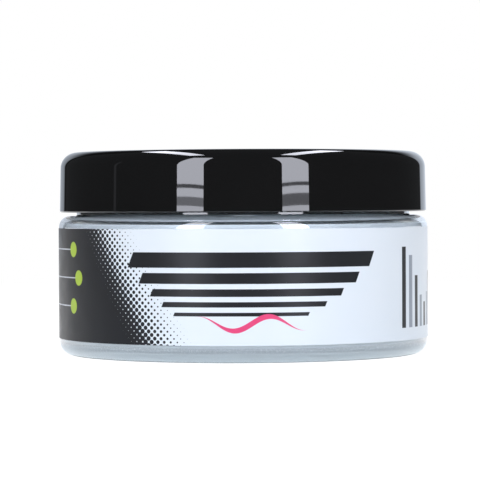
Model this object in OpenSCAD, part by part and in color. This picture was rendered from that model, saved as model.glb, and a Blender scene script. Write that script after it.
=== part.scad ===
// Low round screw-top jar of dry powder, closed and standing on its base.
// Millimetres, Z up, origin at the middle of the base, middle of the label towards -Y.

/* [Jar] */
// Outside diameter of the jar
jar_d = 94; // [84:1:120]
// Height of the shoulder above the table
body_h = 35.2; // [28:0.1:70]
// Thickness of the side wall
jar_wall = 1.5; // [1:0.1:2.4]
// Thickness of the floor over the standing ring
floor_t = 2.4; // [1.8:0.1:4]
// Rounding of the base corner
base_r = 3.4; // [2.6:0.1:6]
// Rounding of the shoulder corner
shoulder_r = 2.8; // [2:0.1:4]
// Width of the flat standing ring
foot_w = 4; // [2:0.5:10]
// Height of the hollow under the base
push_up = 0.8; // [0.3:0.1:1.2]
// Width of the slope from the standing ring up into the hollow
push_up_slope = 3; // [1:0.5:8]

/* [Neck] */
// Height of the neck above the shoulder
neck_h = 13.3; // [12.6:0.1:20]
// Thickness of the neck wall
neck_wall = 1.9; // [1.4:0.1:3]
// Rounding of the lip's two edges
lip_r = 0.5; // [0.2:0.1:0.6]
// Rounding where the inside of the neck meets the shoulder
throat_r = 1; // [0.4:0.1:1.4]

/* [Thread] */
// Rise of the lid in one turn
thread_lead = 5.08; // [4.6:0.01:6.4]
// Turns of thread on the neck and in the lid
thread_turns = 1.1; // [0.75:0.05:1.2]
// Height of a thread above its wall
thread_h = 1.7; // [1.4:0.1:2.2]
// Width of a thread at its root
thread_root_w = 2.2; // [1.6:0.1:2.4]
// Width of a thread at its crest
thread_crest_w = 1; // [0.6:0.1:1.4]
// Drop from the lip to the middle of the neck thread's upper end
thread_drop = 2.6; // [2.4:0.1:4]
// Room between a crest and the wall that it faces
crest_gap = 0.35; // [0.25:0.05:0.6]
// Room between the flanks of the two threads, along the axis
flank_gap = 0.3; // [0.2:0.05:0.5]
// Angle over which each end of a thread sinks into its wall
run_out = 40; // [20:5:60]

/* [Lid] */
// Gap between the closed lid and the shoulder
lid_gap = 0.9; // [0.6:0.1:1.2]
// How far the lid's rim stands back from the jar's side
lid_inset = 0.25; // [0:0.05:1]
// Thickness of the lid's side at the rim
lid_wall = 2.2; // [1.6:0.1:3]
// Thickness of the lid's top
lid_top = 1.8; // [1.4:0.1:3]
// Rounding of the lid's top edge
lid_edge_r = 4; // [2:0.1:4.4]
// How much smaller the lid's radius is at the top than at the rim
lid_draft = 0.3; // [0:0.05:0.5]
// Chamfer of the rim's outer edge
rim_chamfer = 0.3; // [0.1:0.1:0.6]
// Rounding of the inside corner under the lid's top
ceiling_r = 0.8; // [0.4:0.1:1]

/* [Liner] */
// Thickness of the sealing liner
liner_t = 1; // [0.6:0.1:2]
// Room round the edge of the liner
liner_play = 0.25; // [0.1:0.05:0.4]
// How far the bead in the lid reaches under the liner
bead_reach = 0.3; // [0.2:0.1:0.4]
// Height of the bead
bead_h = 0.9; // [0.6:0.1:1]
// Room between the bead and the liner
bead_play = 0.1; // [0.05:0.05:0.2]

/* [Label] */
// Thickness of the label
label_t = 0.1; // [0.06:0.02:0.3]
// Thickness of the glue between the label and the jar
glue_t = 0.03; // [0.01:0.01:0.1]
// Bare height below the label
label_low = 4.3; // [4:0.1:10]
// Bare height between the label and the shoulder
label_high = 3.05; // [2.9:0.05:8]
// Bare width between the label's two ends, at the back
label_split = 6; // [1:0.5:30]

/* [Powder] */
// Depth of the powder in the jar
powder_depth = 6.8; // [3:0.1:20]
// Room between the powder and the side wall
powder_gap = 0.1; // [0.05:0.05:0.3]

/* [Hidden] */
$fn = 96;

// Flat steps in one turn of a thread
thread_steps = 48;
// How far shapes that are cut or joined run past each other
over = 1;
// How deep a thread's root is set into its wall
thread_bury = 0.8;
// How far a thread's crest ends under the face of its wall
thread_sink = 0.25;

// Jar: the neck stands back from the side by what the lid and the thread take up
jar_r = jar_d / 2;
jar_in_r = jar_r - jar_wall;
shoulder_w = lid_inset + lid_wall + crest_gap + thread_h;
neck_r = jar_r - shoulder_w;
neck_in_r = neck_r - neck_wall;
neck_top = body_h + neck_h;
shoulder_in_z = body_h - jar_wall;
base_in_r = base_r - jar_wall;
shoulder_in_r = max(shoulder_r - jar_wall, lip_r);
foot_in_r = jar_r - base_r - foot_w;

// Lid: its side follows the jar's, and its inside the neck, the thread and the liner
lid_r = jar_r - lid_inset;
lid_in_r = neck_r + thread_h + crest_gap;
lid_low = body_h + lid_gap;
lid_ceiling = neck_top + liner_t;
lid_high = lid_ceiling + lid_top;
liner_r = lid_in_r - ceiling_r - liner_play;
bead_r = liner_r - bead_reach;
bead_top = neck_top - bead_play;

// Thread: the lid's thread lies under the neck's by the sum of their half widths and the gap
neck_thread_z = neck_top - thread_drop - thread_lead * thread_turns;
lid_thread_z = neck_thread_z - (thread_root_w + thread_crest_w) / 2 - flank_gap;

// Label
label_in_r = jar_r + glue_t;
label_open_angle = label_split / label_in_r * 180 / PI;

// What a rounding takes off a square corner. The corner is at p, and dir, such as [1, -1],
// points out of the material.
module corner_waste(p, dir, r) {
    translate(p)
        scale([dir.x, dir.y])
            difference() {
                translate([-r, -r])
                    square(r + over);
                translate([-r, -r])
                    circle(r);
            }
}

// Half outline of a round slab with its outer corners rounded
module rounded_slab(r, low, high, low_r, high_r) {
    difference() {
        translate([0, low])
            square([r, high - low]);
        corner_waste([r, low], [1, -1], low_r);
        corner_waste([r, high], [1, 1], high_r);
    }
}

// Share of its full height that a thread has at a place from 0 to 1 along its length
function thread_rise(place) =
    min(1, min(place, 1 - place) * thread_turns * 360 / run_out);

// One thread: a right-hand ridge whose section is a trapezoid. wall_r is the face that it stands
// on, and out is 1 on the outside of a wall and -1 on the inside.
module thread_ridge(wall_r, out, start_z) {
    steps = round(thread_steps * thread_turns);
    root_r = wall_r - out * thread_bury;
    function section(place) =
        let (
            angle = 360 * thread_turns * place,
            z = start_z + thread_lead * thread_turns * place,
            crest_r = wall_r + out * (thread_rise(place) * (thread_h + thread_sink) - thread_sink),
            corners = [
                [root_r, -thread_root_w / 2],
                [crest_r, -thread_crest_w / 2],
                [crest_r, thread_crest_w / 2],
                [root_r, thread_root_w / 2]
            ]
        )
        [for (c = corners) [c.x * cos(angle), c.x * sin(angle), z + c.y]];
    points = [for (i = [0:steps]) each section(i / steps)];
    last = 4 * steps;
    sides = [
        for (i = [0:steps - 1], k = [0:3])
            let (a = 4 * i + k, b = 4 * i + (k + 1) % 4)
            each [[a, b, b + 4], [a, b + 4, a + 4]]
    ];
    ends = [[2, 1, 0], [3, 2, 0], [last, last + 1, last + 2], [last, last + 2, last + 3]];
    faces = concat(sides, ends);
    polyhedron(points, out > 0 ? faces : [for (f = faces) [f[2], f[1], f[0]]]);
}

// Half outline of the jar's outside, without the hollow under the base
module jar_outside() {
    rounded_slab(jar_r, 0, body_h, base_r, min(shoulder_r, shoulder_w));
    rounded_slab(neck_r, body_h - over, neck_top, 0, lip_r);
}

// Half outline of the space in the jar
module jar_inside() {
    rounded_slab(jar_in_r, floor_t, shoulder_in_z, base_in_r, shoulder_in_r);
    translate([0, floor_t])
        square([neck_in_r, neck_top - floor_t + over]);
    corner_waste([neck_in_r, shoulder_in_z], [-1, -1], throat_r);
    corner_waste([neck_in_r, neck_top], [-1, 1], lip_r);
}

// Half outline of the shallow hollow under the base
module base_hollow() {
    polygon([
        [0, -over],
        [foot_in_r, -over],
        [foot_in_r, 0],
        [foot_in_r - push_up_slope, push_up],
        [0, push_up]
    ]);
}

// Clear jar with its neck and the neck's thread
module jar_body() {
    color([0.80, 0.87, 0.92, 0.5])
        union() {
            rotate_extrude()
                difference() {
                    jar_outside();
                    jar_inside();
                    base_hollow();
                }
            thread_ridge(neck_r, 1, neck_thread_z);
        }
}

// Half outline of the lid's outside: a side with draft, and a round top edge that both it and
// the flat top run into
module lid_outside() {
    draft_angle = atan(lid_draft / (lid_high - lid_low));
    edge_z = lid_high - lid_edge_r;
    side_r = lid_r - (edge_z - lid_low) * tan(draft_angle);
    edge_x = side_r - lid_edge_r / cos(draft_angle);
    touch = [edge_x + lid_edge_r * cos(draft_angle), edge_z + lid_edge_r * sin(draft_angle)];
    polygon([
        [0, lid_low],
        [lid_r - rim_chamfer, lid_low],
        [lid_r, lid_low + rim_chamfer],
        touch,
        [edge_x, edge_z],
        [edge_x, lid_high],
        [0, lid_high]
    ]);
    translate([edge_x, edge_z])
        circle(lid_edge_r);
}

// Half outline of the bead that keeps the liner in the lid
module liner_bead() {
    polygon([
        [lid_in_r + over, bead_top],
        [bead_r, bead_top],
        [lid_in_r, bead_top - bead_h],
        [lid_in_r + over, bead_top - bead_h]
    ]);
}

// Black lid with its thread and the liner's bead
module lid_shell() {
    color([0.09, 0.09, 0.10])
        union() {
            rotate_extrude() {
                difference() {
                    lid_outside();
                    rounded_slab(lid_in_r, lid_low - over, lid_ceiling, 0, ceiling_r);
                }
                liner_bead();
            }
            thread_ridge(lid_in_r, -1, lid_thread_z);
        }
}

// Soft sealing disc between the lip and the lid's top
module lid_liner() {
    color([0.93, 0.93, 0.92])
        translate([0, 0, neck_top])
            cylinder(h = liner_t, r = liner_r);
}

// Wrap-round label, open at the back
module label() {
    color([0.91, 0.95, 0.99])
        rotate([0, 0, 90 + label_open_angle / 2])
            rotate_extrude(angle = 360 - label_open_angle)
                translate([label_in_r, label_low])
                    square([label_t, body_h - label_high - label_low]);
}

// Loose powder lying on the floor of the jar
module powder_fill() {
    color([0.95, 0.95, 0.93])
        rotate_extrude()
            rounded_slab(jar_in_r - powder_gap, floor_t, floor_t + powder_depth, base_in_r, 0);
}

jar_body();
lid_shell();
lid_liner();
label();
powder_fill();
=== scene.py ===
"""A low round screw-top jar of dry powder, standing closed in soft studio light."""

import math

import bpy
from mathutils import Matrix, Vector, noise


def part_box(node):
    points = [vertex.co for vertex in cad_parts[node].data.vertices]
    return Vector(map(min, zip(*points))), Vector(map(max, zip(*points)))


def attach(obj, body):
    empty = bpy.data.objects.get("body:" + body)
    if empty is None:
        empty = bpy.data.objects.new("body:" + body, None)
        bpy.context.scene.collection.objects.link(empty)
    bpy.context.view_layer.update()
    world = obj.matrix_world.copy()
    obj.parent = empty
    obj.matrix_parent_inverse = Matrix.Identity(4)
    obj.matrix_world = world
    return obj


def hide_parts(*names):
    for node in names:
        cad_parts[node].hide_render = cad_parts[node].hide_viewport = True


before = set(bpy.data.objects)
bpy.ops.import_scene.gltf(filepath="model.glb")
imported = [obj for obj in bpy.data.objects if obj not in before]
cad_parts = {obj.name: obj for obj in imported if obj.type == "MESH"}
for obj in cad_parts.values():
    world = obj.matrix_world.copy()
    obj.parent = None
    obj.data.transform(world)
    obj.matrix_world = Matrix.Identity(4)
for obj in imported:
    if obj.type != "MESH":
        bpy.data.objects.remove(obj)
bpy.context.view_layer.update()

# Sizes. Metres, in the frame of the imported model. What the boxes of its nodes tell is read
# from them. The other main sizes repeat those that the part was built to, and the fine forms
# that only the scene has are marked as its own.
MM = 0.001

_, jar_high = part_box("jar_body")
lid_low, lid_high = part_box("lid_shell")
liner_low, liner_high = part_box("lid_liner")
label_low, label_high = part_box("label")
powder_low, powder_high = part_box("powder_fill")

# Jar
JAR_R = jar_high.x
JAR_WALL = 1.5 * MM
JAR_FLOOR = powder_low.z
BODY_TOP = 35.2 * MM
BASE_ROUND = 3.4 * MM
SHOULDER_ROUND = 2.8 * MM
SHOULDER_W = 4.5 * MM
FOOT_W = 4 * MM
PUSH_UP = 0.8 * MM
PUSH_UP_SLOPE = 3 * MM
NECK_TOP = jar_high.z
NECK_R = JAR_R - SHOULDER_W
NECK_WALL = 1.9 * MM
LIP_ROUND = 0.5 * MM
# The scene's own: the moulding gate's mark, a wider throat and a fillet at the neck's foot
GATE_R = 1.5 * MM
GATE_H = 0.35 * MM
THROAT_ROUND = 2.4 * MM
NECK_FOOT_ROUND = 0.4 * MM

# Thread
THREAD_LEAD = 5.08 * MM
THREAD_TURNS = 1.1
THREAD_H = 1.7 * MM
THREAD_RUN_OUT = 40 / 360
THREAD_DROP = 2.6 * MM
THREAD_OFFSET = 1.9 * MM
CREST_GAP = 0.35 * MM
NECK_THREAD_Z = NECK_TOP - THREAD_DROP - THREAD_LEAD * THREAD_TURNS
LID_THREAD_Z = NECK_THREAD_Z - THREAD_OFFSET
# The scene's own: half widths that leave room for the flanks' soft feet
THREAD_ROOT_HALF = 0.91 * MM
THREAD_CREST_HALF = 0.45 * MM

# Lid
LID_R = lid_high.x
LID_LOW = lid_low.z
LID_TOP = lid_high.z
LID_IN_R = NECK_R + THREAD_H + CREST_GAP
LID_CEILING = liner_high.z
LID_EDGE_ROUND = 4 * MM
LID_DRAFT = 0.3 * MM
RIM_CHAMFER = 0.3 * MM
CEILING_ROUND = 0.8 * MM
BEAD_H = 0.9 * MM
BEAD_W = 1.35 * MM
BEAD_PLAY = 0.1 * MM
BEAD_R = LID_IN_R - BEAD_W
BEAD_TOP = NECK_TOP - BEAD_PLAY

# Liner. Its sag and the rounding of its edge are the scene's own.
LINER_R = liner_high.x
LINER_SAG = 0.07 * MM
LINER_EDGE = 0.15 * MM

# Label
LABEL_R = label_high.x
LABEL_T = 0.1 * MM
LABEL_SPLIT = 6 * MM

# Powder. The scene's own: a lift that keeps its faces off the jar's, and the wavelength and
# height of the heaps, the lumps and the crumbs on top.
POWDER_R = powder_high.x
POWDER_TOP = powder_high.z
POWDER_LIFT = 0.05 * MM
POWDER_WAVES = ((21 * MM, 0.75 * MM), (6 * MM, 0.32 * MM), (2.2 * MM, 0.13 * MM))

# Mesh
SEGMENTS = 240
ARC_STEPS = 14
THREAD_ROW = 0.13 * MM
POWDER_RINGS = 44
EDGE_ROW = 0.05 * MM
EDGE_ROW_MOST = 0.25
ON_FACE = EDGE_ROW / 10
SAME_POINT = EDGE_ROW / 100
SHARP_TURN = math.radians(25)

# Label's mesh and bake map: steps round the jar, rows of print on the map, and the room between
# them as a share of the map. The sides of the label's section follow the order of its corners.
LABEL_STEPS = 324
MAP_ROWS = 3
MAP_MARGIN = 0.005
MAP_END_W = 0.4
UNDERSIDE, OUTSIDE, TOPSIDE, INSIDE = range(4)


# Outlines: lists of (radius, height) points, turned about the axis
def straight(start, end, rows=1):
    """A straight stretch. A row close to each end keeps its shading flat up to a rounding."""
    near = min(EDGE_ROW / math.dist(start, end), EDGE_ROW_MOST)
    shares = [0, near, *[row / rows for row in range(1, rows)], 1 - near, 1]
    (r, z), (end_r, end_z) = start, end
    return [(r + (end_r - r) * share, z + (end_z - z) * share) for share in shares]


def arc(centre, radius, start, end, steps=ARC_STEPS):
    """A round stretch from one angle to another, in degrees from the outward direction."""
    angles = [math.radians(start + (end - start) * step / steps) for step in range(steps + 1)]
    r, z = centre
    return [(r + radius * math.cos(angle), z + radius * math.sin(angle)) for angle in angles]


def joined(*stretches):
    """One outline from stretches that follow each other, without doubled points."""
    outline = []
    for point in (point for stretch in stretches for point in stretch):
        if not outline or math.dist(point, outline[-1]) > SAME_POINT:
            outline.append(point)
    return outline


def is_sharp(before, here, after):
    """True where an outline turns too much to be shaded as one smooth face."""
    one = Vector((here[0] - before[0], here[1] - before[1]))
    two = Vector((after[0] - here[0], after[1] - here[1]))
    return one.angle(two) > SHARP_TURN


def new_object(name, points, faces):
    """A smooth shaded mesh object."""
    mesh = bpy.data.meshes.new(name)
    mesh.from_pydata(points, [], faces)
    mesh.shade_smooth()
    piece = bpy.data.objects.new(name, mesh)
    bpy.context.scene.collection.objects.link(piece)
    return piece


def unmoved(turn, r, z):
    """The move of each point of a piece that is turned just as its outline says."""
    return (0, 0)


def lathe(name, outline, shift=unmoved):
    """A closed piece turned from an outline that starts and ends on the axis. shift gives the
    (outward, upward) move of the point at a share of a turn, a radius and a height."""
    rings = outline[1:-1]
    points = []
    for r, z in rings:
        for step in range(SEGMENTS):
            turn = step / SEGMENTS
            out, up = shift(turn, r, z)
            angle = math.tau * turn
            points.append(((r + out) * math.cos(angle), (r + out) * math.sin(angle), z + up))
    first, last = len(points), len(points) + 1
    for _, z in (outline[0], outline[-1]):
        points.append((0, 0, z + shift(0, 0, z)[1]))
    faces = []
    top = SEGMENTS * (len(rings) - 1)
    for step in range(SEGMENTS):
        beside = (step + 1) % SEGMENTS
        faces.append((first, beside, step))
        faces.append((last, top + step, top + beside))
        for ring in range(len(rings) - 1):
            low, high = SEGMENTS * ring, SEGMENTS * (ring + 1)
            faces.append((low + step, low + beside, high + beside, high + step))
    piece = new_object(name, points, faces)
    sharp = [is_sharp(*outline[ring:ring + 3]) for ring in range(len(rings))]
    for edge in piece.data.edges:
        ring, other = (vertex // SEGMENTS for vertex in edge.vertices)
        edge.use_edge_sharp = ring == other < len(rings) and sharp[ring]
    return piece


def smooth_step(share):
    """0 below 0, 1 above 1 and a soft rise between."""
    share = min(max(share, 0), 1)
    return share * share * (3 - 2 * share)


def ridge_height(turn, z, start_z):
    """How far a right-hand thread stands off its wall, at a share of a turn and a height."""
    height = 0
    for along in (turn, turn + 1):
        if along <= THREAD_TURNS:
            fade = min(along, THREAD_TURNS - along) / THREAD_RUN_OUT
            aside = abs(z - start_z - THREAD_LEAD * along)
            flank = (THREAD_ROOT_HALF - aside) / (THREAD_ROOT_HALF - THREAD_CREST_HALF)
            height = max(height, THREAD_H * smooth_step(fade) * smooth_step(flank))
    return height


# Pieces
def make_jar():
    """Clear jar: hollow base with a moulding gate mark, side, shoulder and threaded neck. Its
    second material is for the inside of the body, where the powder has been."""
    in_r = JAR_R - JAR_WALL
    neck_in_r = NECK_R - NECK_WALL
    foot_r = JAR_R - BASE_ROUND
    foot_in_r = foot_r - FOOT_W
    hollow_r = foot_in_r - PUSH_UP_SLOPE
    gate_z = PUSH_UP - GATE_H
    in_top = BODY_TOP - JAR_WALL
    base_in_round = BASE_ROUND - JAR_WALL
    shoulder_in_round = SHOULDER_ROUND - JAR_WALL
    shoulder_r, shoulder_z = JAR_R - SHOULDER_ROUND, BODY_TOP - SHOULDER_ROUND
    shoulder_in_r, shoulder_in_z = in_r - shoulder_in_round, in_top - shoulder_in_round
    lip_r, lip_in_r, lip_z = NECK_R - LIP_ROUND, neck_in_r + LIP_ROUND, NECK_TOP - LIP_ROUND
    throat_r, throat_z = neck_in_r + THROAT_ROUND, in_top + THROAT_ROUND
    neck_foot_r, neck_foot_z = NECK_R + NECK_FOOT_ROUND, BODY_TOP + NECK_FOOT_ROUND
    neck_rows = round((NECK_TOP - BODY_TOP) / THREAD_ROW)
    outline = joined(
        straight((0, gate_z), (GATE_R, gate_z)),
        straight((GATE_R, gate_z), (GATE_R + GATE_H, PUSH_UP)),
        straight((GATE_R + GATE_H, PUSH_UP), (hollow_r, PUSH_UP), rows=6),
        straight((hollow_r, PUSH_UP), (foot_in_r, 0)),
        straight((foot_in_r, 0), (foot_r, 0)),
        arc((foot_r, BASE_ROUND), BASE_ROUND, -90, 0),
        straight((JAR_R, BASE_ROUND), (JAR_R, shoulder_z), rows=4),
        arc((shoulder_r, shoulder_z), SHOULDER_ROUND, 0, 90),
        straight((shoulder_r, BODY_TOP), (neck_foot_r, BODY_TOP)),
        arc((neck_foot_r, neck_foot_z), NECK_FOOT_ROUND, 270, 180, steps=8),
        straight((NECK_R, neck_foot_z), (NECK_R, lip_z), rows=neck_rows),
        arc((lip_r, lip_z), LIP_ROUND, 0, 90, steps=6),
        straight((lip_r, NECK_TOP), (lip_in_r, NECK_TOP)),
        arc((lip_in_r, lip_z), LIP_ROUND, 90, 180, steps=6),
        straight((neck_in_r, lip_z), (neck_in_r, throat_z), rows=3),
        arc((throat_r, throat_z), THROAT_ROUND, 180, 270, steps=6),
        straight((throat_r, in_top), (shoulder_in_r, in_top)),
        arc((shoulder_in_r, shoulder_in_z), shoulder_in_round, 90, 0, steps=8),
        straight((in_r, shoulder_in_z), (in_r, JAR_FLOOR + base_in_round), rows=4),
        arc((in_r - base_in_round, JAR_FLOOR + base_in_round), base_in_round, 0, -90, steps=8),
        straight((in_r - base_in_round, JAR_FLOOR), (0, JAR_FLOOR), rows=6),
    )

    def thread(turn, r, z):
        on_neck = abs(r - NECK_R) < ON_FACE and z > neck_foot_z
        return (ridge_height(turn, z, NECK_THREAD_Z) if on_neck else 0, 0)

    jar = lathe("clear_jar", outline, thread)
    for face in jar.data.polygons:
        r, z = math.hypot(*face.center[:2]), face.center.z
        in_body = r < in_r and JAR_FLOOR - EDGE_ROW < z < in_top + EDGE_ROW
        face.material_index = int(in_body)
    return jar


def make_lid():
    """Black screw lid: flat top, large round edge, drafted side, thread and liner bead."""
    draft = math.atan(LID_DRAFT / (LID_TOP - LID_LOW))
    edge_z = LID_TOP - LID_EDGE_ROUND
    edge_r = LID_R - (edge_z - LID_LOW) * math.tan(draft) - LID_EDGE_ROUND / math.cos(draft)
    edge = arc((edge_r, edge_z), LID_EDGE_ROUND, math.degrees(draft), 90, steps=2 * ARC_STEPS)
    corner_r, corner_z = LID_IN_R - CEILING_ROUND, LID_CEILING - CEILING_ROUND
    bead_low = BEAD_TOP - BEAD_H
    thread_rows = round((bead_low - LID_LOW) / THREAD_ROW)
    outline = joined(
        straight((0, LID_CEILING), (corner_r, LID_CEILING), rows=4),
        arc((corner_r, corner_z), CEILING_ROUND, 90, 0, steps=6),
        straight((LID_IN_R, corner_z), (LID_IN_R, BEAD_TOP)),
        straight((LID_IN_R, BEAD_TOP), (BEAD_R, BEAD_TOP)),
        straight((BEAD_R, BEAD_TOP), (LID_IN_R, bead_low)),
        straight((LID_IN_R, bead_low), (LID_IN_R, LID_LOW), rows=thread_rows),
        straight((LID_IN_R, LID_LOW), (LID_R - RIM_CHAMFER, LID_LOW)),
        straight((LID_R - RIM_CHAMFER, LID_LOW), (LID_R, LID_LOW + RIM_CHAMFER)),
        straight((LID_R, LID_LOW + RIM_CHAMFER), edge[0], rows=4),
        edge,
        straight(edge[-1], (0, LID_TOP), rows=6),
    )

    def thread(turn, r, z):
        on_wall = abs(r - LID_IN_R) < ON_FACE and z < bead_low
        return (-ridge_height(turn, z, LID_THREAD_Z) if on_wall else 0, 0)

    return lathe("screw_lid", outline, thread)


def make_liner():
    """Soft sealing disc, bitten by the lip where the closed jar presses on it."""
    low, high = liner_low.z, liner_high.z
    sag = low - LINER_SAG
    bite = LIP_ROUND / 2
    lip_in, lip_out = NECK_R - NECK_WALL + bite, NECK_R - bite
    outline = joined(
        straight((0, sag), (lip_in - bite, sag), rows=5),
        straight((lip_in - bite, sag), (lip_in, low)),
        straight((lip_in, low), (lip_out, low)),
        straight((lip_out, low), (lip_out + bite, sag)),
        straight((lip_out + bite, sag), (LINER_R - LINER_EDGE, sag)),
        arc((LINER_R - LINER_EDGE, sag + LINER_EDGE), LINER_EDGE, -90, 0, steps=4),
        straight((LINER_R, sag + LINER_EDGE), (LINER_R, high)),
        straight((LINER_R, high), (0, high), rows=3),
    )
    return lathe("sealing_liner", outline)


def label_places(sweep, height):
    """Where each face of the label lies on its bake map, as (left, right, low, high), in the
    order of its faces: the printed outside in rows, and the other faces in strips above them."""
    width = 1 - 2 * MAP_MARGIN
    row_steps = LABEL_STEPS // MAP_ROWS
    row_h = height / (sweep * LABEL_R / MAP_ROWS) * width
    strip_h = MAP_MARGIN
    ends_low = MAP_ROWS * (row_h + MAP_MARGIN) + MAP_MARGIN
    under_low, top_low, inside_low = (ends_low + 2 * strip_h * number for number in (1, 2, 3))
    strips = {
        UNDERSIDE: (under_low, under_low + strip_h),
        TOPSIDE: (top_low, top_low + strip_h),
        INSIDE: (inside_low, width),
    }
    ends_left = (MAP_MARGIN, 1 / 2)
    places = [(left, left + MAP_END_W, ends_low, ends_low + strip_h) for left in ends_left]
    for step in range(LABEL_STEPS):
        along = [MAP_MARGIN + width * (step + end) / LABEL_STEPS for end in (0, 1)]
        row, place = divmod(step, row_steps)
        in_row = [MAP_MARGIN + width * (place + end) / row_steps for end in (0, 1)]
        row_low = MAP_MARGIN + row * (row_h + MAP_MARGIN)
        for side in (UNDERSIDE, OUTSIDE, TOPSIDE, INSIDE):
            if side == OUTSIDE:
                places.append((*in_row, row_low, row_low + row_h))
            else:
                places.append((*along, *strips[side]))
    return places


def make_label():
    """Wrap-round label, open at the back, with a bake map that gives its print most room."""
    half_open = LABEL_SPLIT / LABEL_R / 2
    start = math.pi / 2 + half_open
    sweep = math.tau - 2 * half_open
    low, high = label_low.z, label_high.z
    in_r = LABEL_R - LABEL_T
    section = [(in_r, low), (LABEL_R, low), (LABEL_R, high), (in_r, high)]
    points = []
    for step in range(LABEL_STEPS + 1):
        angle = start + sweep * step / LABEL_STEPS
        points += [(r * math.cos(angle), r * math.sin(angle), z) for r, z in section]
    corners = len(section)
    start_face = tuple(range(corners))[::-1]
    end_face = tuple(range(len(points) - corners, len(points)))
    faces = [start_face, end_face]
    for step in range(LABEL_STEPS):
        here, there = corners * step, corners * (step + 1)
        for corner in range(corners):
            beside = (corner + 1) % corners
            faces.append((here + corner, there + corner, there + beside, here + beside))
    piece = new_object("wrap_label", points, faces)
    piece.data.set_sharp_from_angle(angle=SHARP_TURN)
    bake_map = piece.data.uv_layers.new(name="OFBake")
    for face, place in zip(piece.data.polygons, label_places(sweep, high - low)):
        left, right, bottom, top = place
        corner_places = ((left, bottom), (right, bottom), (right, top), (left, top))
        for loop, corner_place in zip(face.loop_indices, corner_places):
            bake_map.data[loop].uv = corner_place
    return piece


def make_powder():
    """Loose powder: it fills the floor of the jar and lies uneven on top."""
    corner = BASE_ROUND - JAR_WALL
    low = JAR_FLOOR + POWDER_LIFT
    top_rings = [POWDER_R * (1 - ring / POWDER_RINGS) for ring in range(1, POWDER_RINGS + 1)]
    outline = joined(
        straight((0, low), (POWDER_R - corner, low), rows=4),
        arc((POWDER_R - corner, low + corner), corner, -90, 0, steps=8),
        straight((POWDER_R, low + corner), (POWDER_R, POWDER_TOP), rows=3),
        [(r, POWDER_TOP) for r in top_rings],
    )

    def heap(turn, r, z):
        if z < POWDER_TOP - ON_FACE:
            return (0, 0)
        angle = math.tau * turn
        place = Vector((r * math.cos(angle), r * math.sin(angle), 0))
        return (0, sum(height * noise.noise(place / length) for length, height in POWDER_WAVES))

    return lathe("powder_bed", outline, heap)


# Materials
WHITE = (1, 1, 1, 1)
BLACK = (0, 0, 0, 1)
LID_BLACKS = ((0.0042, 0.0042, 0.0042, 1), (0.0062, 0.0061, 0.0060, 1))
CLEAR_TINTS = ((0.88, 0.93, 0.96, 1), (0.91, 0.95, 0.975, 1))
CLEAR_SHADOW = (0.90, 0.94, 0.965, 1)
CLEAR_IOR = 1.57
HAZE_TINTS = ((0.78, 0.86, 0.92, 1), (0.85, 0.91, 0.95, 1))
HAZE_SPECK = (0.92, 0.95, 0.97, 1)
HAZE_SHADE_LINE = (0.25, 0.29, 0.33, 1)
HAZE_SHADOW = (0.72, 0.76, 0.79, 1)
LINER_WHITES = ((0.80, 0.80, 0.77, 1), (0.88, 0.88, 0.86, 1))
POWDER_WHITES = ((0.80, 0.81, 0.80, 1), (0.92, 0.93, 0.92, 1))
POWDER_PIT_SHADE = (0.66, 0.68, 0.68, 1)

FILM_WHITE = (0.755, 0.806, 0.842, 1)
FILM_SHADE = (0.735, 0.787, 0.832, 1)
CHARCOAL = (0.007, 0.0085, 0.012, 1)
PINK = (0.76, 0.075, 0.22, 1)
GREEN = (0.42, 0.58, 0.05, 1)
RULE_GREY = (0.30, 0.34, 0.39, 1)
LINE_WHITE = (0.55, 0.58, 0.62, 1)


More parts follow.
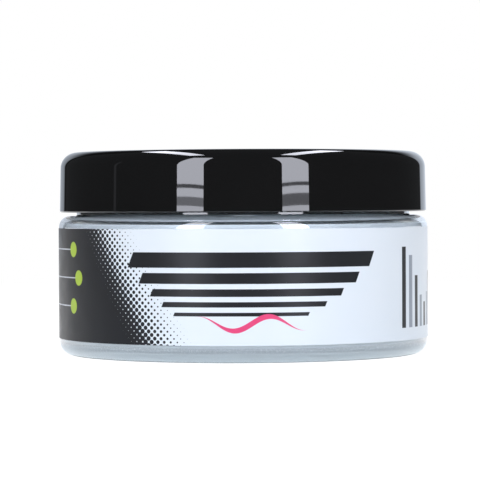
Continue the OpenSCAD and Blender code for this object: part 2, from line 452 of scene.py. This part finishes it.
class Nodes:
    """Short ways to add shader nodes to one new material."""

    def __init__(self, name):
        self.material = bpy.data.materials.new(name)
        self.material.use_nodes = True
        self.tree = self.material.node_tree
        self.shader = self.tree.nodes["Principled BSDF"]
        self.output = self.tree.nodes["Material Output"]

    def put(self, socket, value):
        """Links a socket, or sets the value of one."""
        if isinstance(value, bpy.types.NodeSocket):
            self.tree.links.new(value, socket)
        else:
            socket.default_value = value

    def add(self, kind, inputs=(), **settings):
        """A new node, with its settings, and its inputs by name or number."""
        node = self.tree.nodes.new("ShaderNode" + kind)
        for name, value in settings.items():
            setattr(node, name, value)
        for key, value in dict(inputs).items():
            self.put(node.inputs[key], value)
        return node

    def surface(self, **inputs):
        """Sets inputs of the main shader, such as Base_Color for Base Color."""
        for name, value in inputs.items():
            self.put(self.shader.inputs[name.replace("_", " ")], value)

    def math(self, operation, *values):
        """The result of an operation on one to three values."""
        node = self.add("Math", enumerate(values), operation=operation)
        return node.outputs[0]

    def gap(self, value, place):
        """How far a value is from a place, on either side."""
        return self.math("ABSOLUTE", self.math("SUBTRACT", value, place))

    def ramp(self, value, start, end, low=0.0, high=1.0):
        """A soft rise from low to high, while value goes from start to end."""
        inputs = {"Value": value, "From Min": start, "From Max": end, "To Min": low, "To Max": high}
        return self.add("MapRange", inputs, interpolation_type="SMOOTHSTEP").outputs["Result"]

    def mix(self, share, first, second):
        """A colour between two, by a share from 0 to 1."""
        node = self.add("Mix", {0: share, 6: first, 7: second}, data_type="RGBA")
        return node.outputs[2]

    def millimetres(self):
        """Place on the piece, in its own frame, in millimetres."""
        place = self.add("TexCoord").outputs["Object"]
        return self.add("VectorMath", {0: place, "Scale": 1 / MM}, operation="SCALE").outputs[0]

    def stretched(self, place, scale):
        """A place whose three parts are multiplied by those of a scale."""
        return self.add("Mapping", {"Vector": place, "Scale": scale}).outputs[0]

    def noise(self, place, size, detail=2.0, roughness=0.5):
        """Soft noise from 0 to 1 with features of about the given size."""
        inputs = {"Vector": place, "Scale": 1 / size, "Detail": detail, "Roughness": roughness}
        return self.add("TexNoise", inputs).outputs["Fac"]

    def cells(self, place, size):
        """Distance to the nearest cell's middle, in cells, and a random number of the cell."""
        node = self.add("TexVoronoi", {"Vector": place, "Scale": 1 / size})
        split = self.add("SeparateColor", {"Color": node.outputs["Color"]})
        return node.outputs["Distance"], split.outputs[0]

    def bump(self, height, depth, strength=1.0, below=None):
        """A normal from a height map, whose range from 0 to 1 stands for the given depth."""
        inputs = {"Height": height, "Distance": depth, "Strength": strength}
        if below is not None:
            inputs["Normal"] = below
        return self.add("Bump", inputs).outputs["Normal"]

    def let_pass(self, share, colour):
        """Lets what meets the surface pass straight where share is 1, tinted by a colour."""
        passing = self.add("BsdfTransparent", {"Color": colour})
        inputs = {0: share, 1: self.shader.outputs[0], 2: passing.outputs[0]}
        self.put(self.output.inputs["Surface"], self.add("MixShader", inputs).outputs[0])

    def let_lamps_through(self, colour):
        """Lets light from the lamps pass a clear surface straight, tinted by a colour."""
        self.let_pass(self.add("LightPath").outputs["Is Shadow Ray"], colour)


def lid_material():
    """Glossy black moulded plastic with a faint skin and fine handling marks."""
    nodes = Nodes("glossy_black_plastic")
    place = nodes.millimetres()
    cloud = nodes.noise(place, size=14, detail=3)
    streaks = nodes.noise(nodes.stretched(place, (1, 1, 14)), size=7, detail=6, roughness=0.7)
    marks = nodes.ramp(streaks, 0.60, 0.72)
    skin = nodes.ramp(cloud, 0.3, 0.7, 0.006, 0.014)
    nodes.surface(
        Base_Color=nodes.mix(cloud, *LID_BLACKS),
        Roughness=nodes.math("MULTIPLY_ADD", marks, 0.015, skin),
        IOR=1.7,
    )
    return nodes.material


def jar_material():
    """Clear, faintly blue moulded plastic with a glossy skin."""
    nodes = Nodes("clear_plastic")
    place = nodes.millimetres()
    cloud = nodes.noise(place, size=11)
    flow = nodes.noise(nodes.stretched(place, (1, 1, 0.3)), size=5, detail=1)
    nodes.surface(
        Base_Color=nodes.mix(cloud, *CLEAR_TINTS),
        Roughness=nodes.ramp(cloud, 0.3, 0.7, 0.01, 0.035),
        Normal=nodes.bump(flow, 0.012 * MM, 0.5),
        IOR=CLEAR_IOR,
        Transmission_Weight=1.0,
        Coat_Weight=1.0,
        Coat_IOR=1.5,
        Coat_Roughness=0.02,
    )
    nodes.let_lamps_through(CLEAR_SHADOW)
    return nodes.material


def dusted_material():
    """Inside of the clear jar, hazed by the fine powder that clings to it. A ring under the
    shoulder stays clear, and painted shade draws a darker line where the wall meets the floor."""
    # Heights, half widths and ends of the soft edges, in millimetres
    ring_up, ring_half, ring_end = 33.27, 0.18, 0.36
    line_up, line_half, line_end = 3.1, 0.15, 0.8
    ceiling_low, ceiling_high = 33.4, 33.6
    nodes = Nodes("dusted_plastic")
    place = nodes.millimetres()
    cloud = nodes.noise(place, size=6, detail=4, roughness=0.6)
    specks = nodes.noise(place, size=0.4, detail=3, roughness=0.7)
    up = nodes.add("SeparateXYZ", {0: place}).outputs[2]
    from_ring = nodes.gap(up, ring_up)
    # Painted shade: a darker line in the haze where the wall meets the floor
    line = nodes.ramp(nodes.gap(up, line_up), line_half, line_end, 0.75, 0)
    haze = nodes.mix(line, nodes.mix(cloud, *HAZE_TINTS), HAZE_SHADE_LINE)
    clear = nodes.ramp(from_ring, ring_half, ring_end, 1.0, 0.35)
    clear_above = nodes.ramp(up, ceiling_low, ceiling_high, 1.0, 0.7)
    nodes.surface(
        Base_Color=nodes.mix(nodes.ramp(specks, 0.45, 0.75, 0, 0.6), haze, HAZE_SPECK),
        Roughness=nodes.ramp(from_ring, ring_half, ring_end, 0.05, 0.36),
        IOR=CLEAR_IOR,
        Transmission_Weight=nodes.math("MULTIPLY", clear, clear_above),
    )
    nodes.let_lamps_through(HAZE_SHADOW)
    return nodes.material


class Print(Nodes):
    """Flat print on the wrap-round label. Places are in millimetres: across is measured along
    the label from its middle, to the right, and up from the surface that the jar stands on."""

    SOFT_EDGE = 0.04

    def __init__(self, name):
        super().__init__(name)
        self.place = self.millimetres()
        x, y, self.up = self.add("SeparateXYZ", {0: self.place}).outputs
        angle = self.math("ARCTAN2", x, self.math("MULTIPLY", y, -1))
        self.across = self.math("MULTIPLY", angle, LABEL_R / MM)
        self.flat = self.add("CombineXYZ", {0: self.across, 1: self.up}).outputs[0]
        self.colour = self.mix(self.noise(self.flat, size=26, detail=3), FILM_WHITE, FILM_SHADE)

    def inside(self, distance, soft=SOFT_EDGE):
        """1 where a distance to an outline is below 0, with an edge that is soft by a width."""
        return self.ramp(distance, soft, -soft)

    def ink(self, share, colour):
        """Prints a colour where share is 1."""
        self.colour = self.mix(share, self.colour, colour)

    def bar(self, left, right, low, high, lean=0):
        """A bar, whose ends lean to the right by a share of its height."""
        off = self.math("SUBTRACT", self.up, (low + high) / 2)
        along = self.math("MULTIPLY_ADD", off, -lean, self.across)
        long = self.math("SUBTRACT", self.gap(along, (left + right) / 2), (right - left) / 2)
        tall = self.math("SUBTRACT", self.math("ABSOLUTE", off), (high - low) / 2)
        return self.inside(self.math("MAXIMUM", long, tall))

    def disc(self, across, up, radius):
        """A disc, with an edge that is soft by a share of its radius."""
        soft = 0.03
        moved = self.add("VectorMath", {0: self.flat, 1: (across, up, 0)}, operation="SUBTRACT")
        shape = {0: moved.outputs[0], 1: (radius, radius, 1)}
        scaled = self.add("VectorMath", shape, operation="DIVIDE").outputs[0]
        distance = self.add("VectorMath", {0: scaled}, operation="LENGTH").outputs["Value"]
        return self.ramp(distance, 1 + soft, 1 - soft)


def print_dot_fade(film):
    """Charcoal panel on the left whose slanted side fades out in ever smaller dots."""
    pitch, lean, level = 1.2, 0.6, 18
    solid_end, dots_end = -43, -13
    full_r, no_r = 0.78, -0.1
    cell_middle = (0.5, 0.5, 0)
    grid = {"Vector": film.flat, "Rotation": (0, 0, math.radians(45)), "Scale": (1 / pitch,) * 3}
    turned = film.add("Mapping", grid).outputs[0]
    in_cell = film.add("VectorMath", {0: turned}, operation="FRACTION").outputs[0]
    off = film.add("VectorMath", {0: in_cell, 1: cell_middle}, operation="SUBTRACT").outputs[0]
    distance = film.add("VectorMath", {0: off}, operation="LENGTH").outputs["Value"]
    along = film.math("MULTIPLY_ADD", film.math("SUBTRACT", film.up, level), lean, film.across)
    radius = film.ramp(along, solid_end, dots_end, full_r, no_r)
    outside = film.math("SUBTRACT", distance, radius)
    film.ink(film.inside(outside, film.SOFT_EDGE / pitch), CHARCOAL)


def print_stripes(film):
    """Slanted stripes across the front, each thinner and shorter than the one above."""
    count, gap, lean = 5, 1.25, 0.45
    left, right, high, thickness = -29, 34, 26.6, 3.7
    left_step, right_step, thinning = 3, -4.5, 0.7
    for _ in range(count):
        film.ink(film.bar(left, right, high - thickness, high, lean), CHARCOAL)
        high -= thickness + gap
        left += left_step
        right += right_step
        thickness *= thinning


def print_wave(film):
    """Thin pink wave that tapers to both ends."""
    middle, half_length, level = 2, 15, 9.6
    swing, length, half_width = 1.7, 17, 0.75
    aside = film.math("SUBTRACT", film.across, middle)
    wave = film.math("SINE", film.math("MULTIPLY", aside, math.tau / length))
    off = film.gap(film.math("MULTIPLY_ADD", wave, -swing, film.up), level)
    from_middle = film.math("ABSOLUTE", aside)
    taper = film.ramp(from_middle, half_length, 0, -film.SOFT_EDGE, half_width)
    film.ink(film.inside(film.math("SUBTRACT", off, taper)), PINK)


def print_disc_lines(film):
    """Pale lines on the panel that end in green discs."""
    line_start, half_line, disc_r = -76, 0.15, 1.9
    for up, line_end in ((27, -52), (20, -49), (13, -52)):
        film.ink(film.bar(line_start, line_end, up - half_line, up + half_line), LINE_WHITE)
        film.ink(film.disc(line_end, up, disc_r), GREEN)


def print_upright_bars(film):
    """Upright bars on the right that shrink and grow, dark and grey in turn."""
    count, start, pitch, width = 9, 46, 3.6, 1.9
    low, mean_height, swing, angle_step = 7.4, 13, 7, 0.8
    for number in range(count):
        left = start + pitch * number
        high = low + mean_height + swing * math.cos(angle_step * number)
        film.ink(film.bar(left, left + width, low, high), RULE_GREY if number % 2 else CHARCOAL)


def label_material():
    """Printed film label with a satin face."""
    film = Print("printed_film")
    print_dot_fade(film)
    print_stripes(film)
    print_wave(film)
    print_disc_lines(film)
    print_upright_bars(film)
    tooth = film.noise(film.place, size=0.35, detail=3, roughness=0.6)
    film.surface(
        Base_Color=film.colour,
        Roughness=film.ramp(film.noise(film.flat, size=5, detail=3), 0.3, 0.7, 0.285, 0.345),
        Normal=film.bump(tooth, 0.006 * MM, 0.4),
        IOR=1.4,
        Subsurface_Weight=1.0,
        Subsurface_Radius=(1, 1, 1),
        Subsurface_Scale=0.02 * MM,
    )
    return film.material


def liner_material():
    """White foamed liner with a fine closed-cell face."""
    nodes = Nodes("foam_liner")
    place = nodes.millimetres()
    distance, chance = nodes.cells(place, size=0.7)
    cloud = nodes.noise(place, size=9, detail=3)
    nodes.surface(
        Base_Color=nodes.mix(cloud, *LINER_WHITES),
        Roughness=nodes.ramp(chance, 0, 1, 0.5, 0.68),
        Normal=nodes.bump(distance, 0.03 * MM, 0.5),
    )
    return nodes.material


def powder_material():
    """Dry white powder, matt and grainy, with painted shade in the pits between the grains."""
    nodes = Nodes("white_powder")
    place = nodes.millimetres()
    grain = nodes.noise(place, size=0.45, detail=5, roughness=0.7)
    lump = nodes.noise(place, size=3.5, detail=3)
    pale = nodes.mix(lump, *POWDER_WHITES)
    lumpy = nodes.bump(lump, 0.4 * MM, 0.6)
    nodes.surface(
        # Painted shade: the colour darkens where the grain's bump is low
        Base_Color=nodes.mix(nodes.ramp(grain, 0.35, 0.6), POWDER_PIT_SHADE, pale),
        Roughness=nodes.ramp(grain, 0.3, 0.7, 0.85, 1.0),
        Normal=nodes.bump(grain, 0.18 * MM, 0.9, below=lumpy),
        Specular_IOR_Level=0.25,
    )
    return nodes.material


# Each piece: how it is made, its materials, the node that it stands for, its body and its slot
PIECES = (
    (make_jar, (jar_material, dusted_material), "jar_body", "jar", "clear_jar"),
    (make_label, (label_material,), "label", "jar", "label_film"),
    (make_powder, (powder_material,), "powder_fill", "jar", "powder"),
    (make_lid, (lid_material,), "lid_shell", "lid", "lid_plastic"),
    (make_liner, (liner_material,), "lid_liner", "liner", "liner_board"),
)
for make, materials, node, body, slot in PIECES:
    piece = make()
    for material in materials:
        piece.data.materials.append(material())
    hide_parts(node)
    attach(piece, body)

# Floor: its side, its grey and glow near the jar and where both end, its glow under the middle
# of the base and under the foot, which paints shade under the jar, the dark ring of painted
# contact shadow where the foot stands, and the tint round it
FLOOR_SIDE = 6.0
FLOOR_GREY = (0.25, 0.25, 0.25, 1)
FLOOR_GLOW = 0.82
FLOOR_NEAR = 0.12
FLOOR_FAR = 0.6
MIDDLE_GLOW = 0.9
FOOT_GLOW = 0.75
FOOT_EDGE = 0.6 * MM
CONTACT_SHADOW_GLOW = 0.0
CONTACT_SHADOW_HALF = 0.6 * MM
FOOT_TINT = (0.92, 1.0, 1.055, 1)
FOOT_TINT_W = 30 * MM

# Backdrop: its place and size, the places between which its sides and its upper part fade out,
# and its share of light at the left
BACKDROP_GAP = 1.4
BACKDROP_W = 1.92
BACKDROP_H = 1.6
BACKDROP_TINT = (0.80, 0.88, 1, 1)
BACKDROP_LEFT = (-0.86, -0.74)
BACKDROP_RIGHT = (0.95, 0.86)
BACKDROP_UPPER = (-0.4, 0.1)
BACKDROP_DIM_SIDE = (-0.4, 0.4)
BACKDROP_DIM = 0.65


def plane(name, width, depth):
    """A flat square-cornered sheet, facing up, with its middle at the origin."""
    x, y = width / 2, depth / 2
    return new_object(name, [(-x, -y, 0), (x, -y, 0), (x, y, 0), (-x, y, 0)], [(0, 1, 2, 3)])


def make_floor():
    """Plain floor that the camera sees as pure white. What the jar reflects and refracts of it
    carries painted shade under the base, a ring of painted contact shadow at the foot and a
    tint round it, and from below it is seen through."""
    floor = plane("floor", FLOOR_SIDE, FLOOR_SIDE)
    nodes = Nodes("studio_white")
    place = nodes.add("TexCoord").outputs["Object"]
    away = nodes.add("VectorMath", {0: place}, operation="LENGTH").outputs["Value"]
    foot_r = JAR_R - BASE_ROUND
    # Painted shade: less glow under the jar, and a dark ring of contact shadow at the foot
    under = nodes.ramp(away, foot_r - 2 * FOOT_W, foot_r - FOOT_W / 2, MIDDLE_GLOW, FOOT_GLOW)
    shade = nodes.math("MAXIMUM", under, nodes.ramp(away, foot_r, foot_r + FOOT_EDGE))
    ring = nodes.ramp(nodes.gap(away, foot_r), CONTACT_SHADOW_HALF, 3 * CONTACT_SHADOW_HALF, CONTACT_SHADOW_GLOW, 1.0)
    shade = nodes.math("MULTIPLY", shade, ring)
    glow = nodes.ramp(away, FLOOR_NEAR, FLOOR_FAR, FLOOR_GLOW, 1.0)
    lit = nodes.math("MINIMUM", shade, glow)
    tint = nodes.mix(nodes.ramp(away, foot_r, foot_r + FOOT_TINT_W), FOOT_TINT, WHITE)
    seen = nodes.add("LightPath").outputs["Is Camera Ray"]
    nodes.surface(
        Base_Color=nodes.mix(nodes.ramp(away, FLOOR_NEAR, FLOOR_FAR), FLOOR_GREY, BLACK),
        Roughness=0.8,
        Specular_IOR_Level=0.0,
        Emission_Color=nodes.mix(seen, tint, WHITE),
        Emission_Strength=nodes.math("MAXIMUM", lit, seen),
    )
    nodes.let_pass(nodes.add("NewGeometry").outputs["Backfacing"], WHITE)
    floor.data.materials.append(nodes.material)


def make_backdrop():
    """White sheet behind the jar, which gives its sides their pale edges."""
    backdrop = plane("backdrop", BACKDROP_W, BACKDROP_H)
    backdrop.location = (0, BACKDROP_GAP, BACKDROP_H / 2)
    backdrop.rotation_euler.x = math.radians(90)
    nodes = Nodes("backdrop_white")
    place = nodes.add("TexCoord").outputs["Object"]
    across, up, _ = nodes.add("SeparateXYZ", {0: place}).outputs
    left, right = nodes.ramp(across, *BACKDROP_LEFT), nodes.ramp(across, *BACKDROP_RIGHT)
    lit = nodes.math("MULTIPLY", left, right)
    lit = nodes.math("MULTIPLY", lit, nodes.ramp(up, *BACKDROP_UPPER, 1, 0))
    dimmed = nodes.ramp(across, *BACKDROP_DIM_SIDE, BACKDROP_DIM, 1.0)
    nodes.surface(
        Base_Color=BLACK,
        Emission_Color=BACKDROP_TINT,
        Emission_Strength=nodes.math("MULTIPLY", lit, dimmed),
    )
    backdrop.data.materials.append(nodes.material)
    backdrop.visible_camera = False


LAMP_TINT = (0.95, 0.97, 1.08)


def softbox(name, place, aim, width, height, radiance):
    """A rectangular soft light. It shows in the gloss but not to the camera."""
    lamp = bpy.data.lights.new(name, "AREA")
    lamp.shape = "RECTANGLE"
    lamp.size, lamp.size_y = width, height
    lamp.energy = radiance * math.pi * width * height
    lamp.color = LAMP_TINT
    light = bpy.data.objects.new(name, lamp)
    light.location = place
    light.rotation_euler = (Vector(aim) - Vector(place)).to_track_quat("-Z", "Y").to_euler()
    light.visible_camera = False
    bpy.context.scene.collection.objects.link(light)
    return light


# Upright strip lights left and right of the camera. Each is broken near its foot: the heights
# where its bands meet, from the floor up, and each band's share of the full brightness.
STRIP_GAP = 1.0
STRIP_W = 0.29
STRIP_TURN = math.radians(31.8)
STRIP_ROLL = math.radians(-0.15)
STRIP_LIGHT = 5.6
STRIP_EDGES = {
    -1: (0.004, 0.0737, 0.0793, 0.0847, 0.0871, 1.35),
    1: (0.004, 0.0737, 0.0813, 0.0860, 0.0883, 1.35),
}
STRIP_SHARES = {-1: (0.95, 0.3, 1, 0.11, 1), 1: (0.95, 0.2, 1, 0.11, 1)}
for side, edges in STRIP_EDGES.items():
    turn = STRIP_TURN * side
    for low, high, share in zip(edges, edges[1:], STRIP_SHARES[side]):
        place = (STRIP_GAP * math.sin(turn), -STRIP_GAP * math.cos(turn), (low + high) / 2)
        light = softbox("strip", place, (0, 0, place[2]), STRIP_W, high - low, STRIP_LIGHT * share)
        light.rotation_euler.rotate_axis("Z", STRIP_ROLL * side)

# Strip lights overhead, which run from front to back
OVERHEAD_X = 0.34
OVERHEAD_Y = 0.315
OVERHEAD_Z = 1.05
OVERHEAD_W = 0.13
OVERHEAD_L = 1.11
OVERHEAD_LIGHT = 9.5
for side in (-1, 1):
    place = (OVERHEAD_X * side, OVERHEAD_Y, OVERHEAD_Z)
    below = (OVERHEAD_X * side, OVERHEAD_Y, 0)
    softbox("overhead", place, below, OVERHEAD_W, OVERHEAD_L, OVERHEAD_LIGHT)

# Thin dim light at the left, like the edge of a stand, which draws a faint line on the lid
STAND_PLACE = (-1.03, -0.10, 0.25)
STAND_AIM = (-0.03, -0.035, 0.25)
STAND_W = 0.035
STAND_H = 0.5
STAND_LIGHT = 0.14
softbox("stand_edge", STAND_PLACE, STAND_AIM, STAND_W, STAND_H, STAND_LIGHT)

# Surroundings: their tint, and their strength in the gloss and as fill light
WORLD_TINT = (0.9, 0.94, 1, 1)
WORLD_GLOSS = 0.05
WORLD_FILL = 0.18


def make_world():
    """White for what is seen directly or through clear plastic, and dim for gloss and fill."""
    world = bpy.data.worlds.new("studio")
    world.use_nodes = True
    bpy.context.scene.world = world
    tree = world.node_tree
    tree.nodes.clear()
    path = tree.nodes.new("ShaderNodeLightPath")
    seen = tree.nodes.new("ShaderNodeMath")
    seen.operation = "MAXIMUM"
    tree.links.new(path.outputs["Is Camera Ray"], seen.inputs[0])
    tree.links.new(path.outputs["Is Transmission Ray"], seen.inputs[1])
    strength = tree.nodes.new("ShaderNodeMapRange")
    strength.inputs["To Min"].default_value = WORLD_GLOSS
    strength.inputs["To Max"].default_value = WORLD_FILL
    tree.links.new(path.outputs["Is Diffuse Ray"], strength.inputs["Value"])
    dim = tree.nodes.new("ShaderNodeBackground")
    dim.inputs["Color"].default_value = WORLD_TINT
    tree.links.new(strength.outputs["Result"], dim.inputs["Strength"])
    white = tree.nodes.new("ShaderNodeBackground")
    white.inputs["Color"].default_value = WHITE
    mix = tree.nodes.new("ShaderNodeMixShader")
    tree.links.new(seen.outputs[0], mix.inputs[0])
    tree.links.new(dim.outputs[0], mix.inputs[1])
    tree.links.new(white.outputs[0], mix.inputs[2])
    output = tree.nodes.new("ShaderNodeOutputWorld")
    tree.links.new(mix.outputs[0], output.inputs["Surface"])


# Camera: its distance and height, its lens and sensor in millimetres, its nearest sight, and
# its small turns down, left and about its own axis, in degrees
CAMERA_GAP = 0.6486
CAMERA_Z = 38.4 * MM
CAMERA_LENS = 189.9
CAMERA_SENSOR = 36
CAMERA_NEAR = 0.01
CAMERA_DOWN = 0.844
CAMERA_LEFT = 0.066
CAMERA_ROLL = 0.27


def make_camera():
    """Camera with a long lens, just above the height of the jar's shoulder."""
    lens = bpy.data.cameras.new("camera")
    lens.lens, lens.sensor_width = CAMERA_LENS, CAMERA_SENSOR
    lens.clip_start = CAMERA_NEAR
    camera = bpy.data.objects.new("camera", lens)
    camera.location = (0, -CAMERA_GAP, CAMERA_Z)
    turns = (90 - CAMERA_DOWN, CAMERA_ROLL, CAMERA_LEFT)
    camera.rotation_euler = [math.radians(turn) for turn in turns]
    bpy.context.scene.collection.objects.link(camera)
    bpy.context.scene.camera = camera


make_floor()
make_backdrop()
make_world()
make_camera()
scene = bpy.context.scene
scene.view_settings.view_transform = "Standard"
scene.cycles.use_denoising = True
scene.cycles.max_bounces = 24
scene.cycles.glossy_bounces = 12
scene.cycles.transmission_bounces = 20
